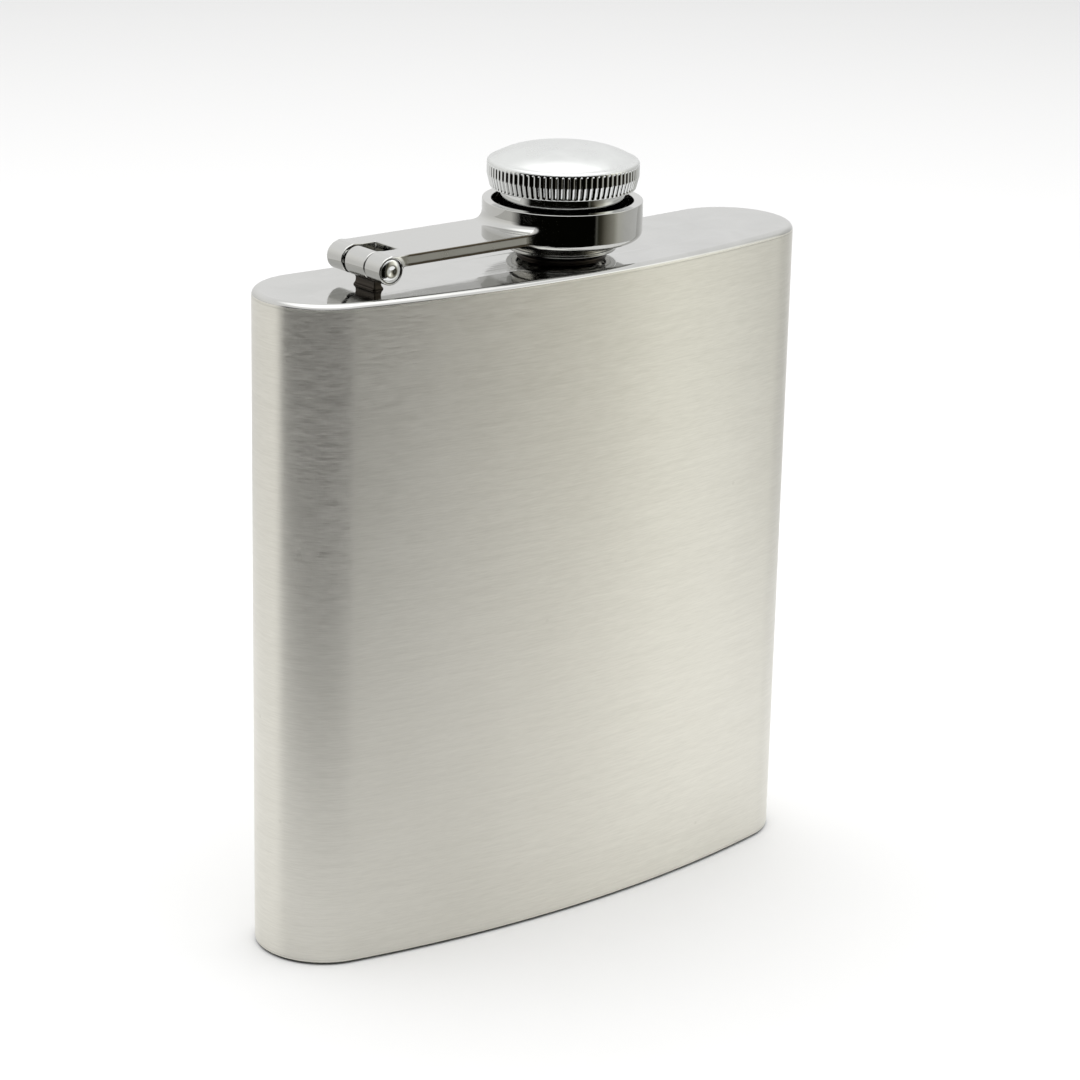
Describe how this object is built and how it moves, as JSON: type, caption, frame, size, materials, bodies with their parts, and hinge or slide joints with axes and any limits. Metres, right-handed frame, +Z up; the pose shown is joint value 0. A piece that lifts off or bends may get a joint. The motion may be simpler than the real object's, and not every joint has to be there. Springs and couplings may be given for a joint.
{
  "type": "hip flask",
  "caption": "Curved pocket flask in brushed steel with a polished top, a threaded neck, a knurled screw cap and a hinged arm that keeps the cap on the flask.",
  "frame": {"origin": "on the underside of the base, below the middle of the body", "axes": "+Z up through the neck, +X from the hinge towards the cap's side, -Y the convex front, +Y the hollow back"},
  "size_m": [0.092, 0.0235, 0.111],
  "materials": {
    "brushed_steel": "fine straight brushing around the body",
    "polished_steel": "mirror polished",
    "turned_steel": "turned, with fine rings",
    "chrome": "bright plated, knurled round the grip",
    "rubber": "matt translucent"
  },
  "bodies": {
    "flask": {"body_wrap": "brushed_steel", "top_plate": "polished_steel", "bottom_plate": "brushed_steel", "neck": "turned_steel", "hinge_bracket": "polished_steel"},
    "arm": {"cap_arm": "polished_steel", "hinge_pin": "chrome"},
    "seal": {"cap_gasket": "rubber"},
    "cap": {"cap_shell": "chrome", "cap_insert": "turned_steel", "cap_retaining_ring": "polished_steel"}
  },
  "joints": [
    {"name": "arm_swing", "type": "hinge", "parent": "flask", "child": "arm", "pos_m": [-0.0314, 0, 0.0988], "axis": [0, -1, 0], "range_deg": [0, 175]},
    {"name": "cap_lift", "type": "slide", "parent": "arm", "child": "seal", "axis": [0, 0, 1], "range_m": [0, 0.001]},
    {"name": "cap_turn", "type": "hinge", "parent": "seal", "child": "cap", "pos_m": [0.0028, 0, 0.1], "axis": [0, 0, 1], "range_deg": [0, 225]}
  ],
  "couplings": [
    {"joint": "cap_lift", "follows": "cap_turn", "m_per_rad": 0.00025465}
  ]
}
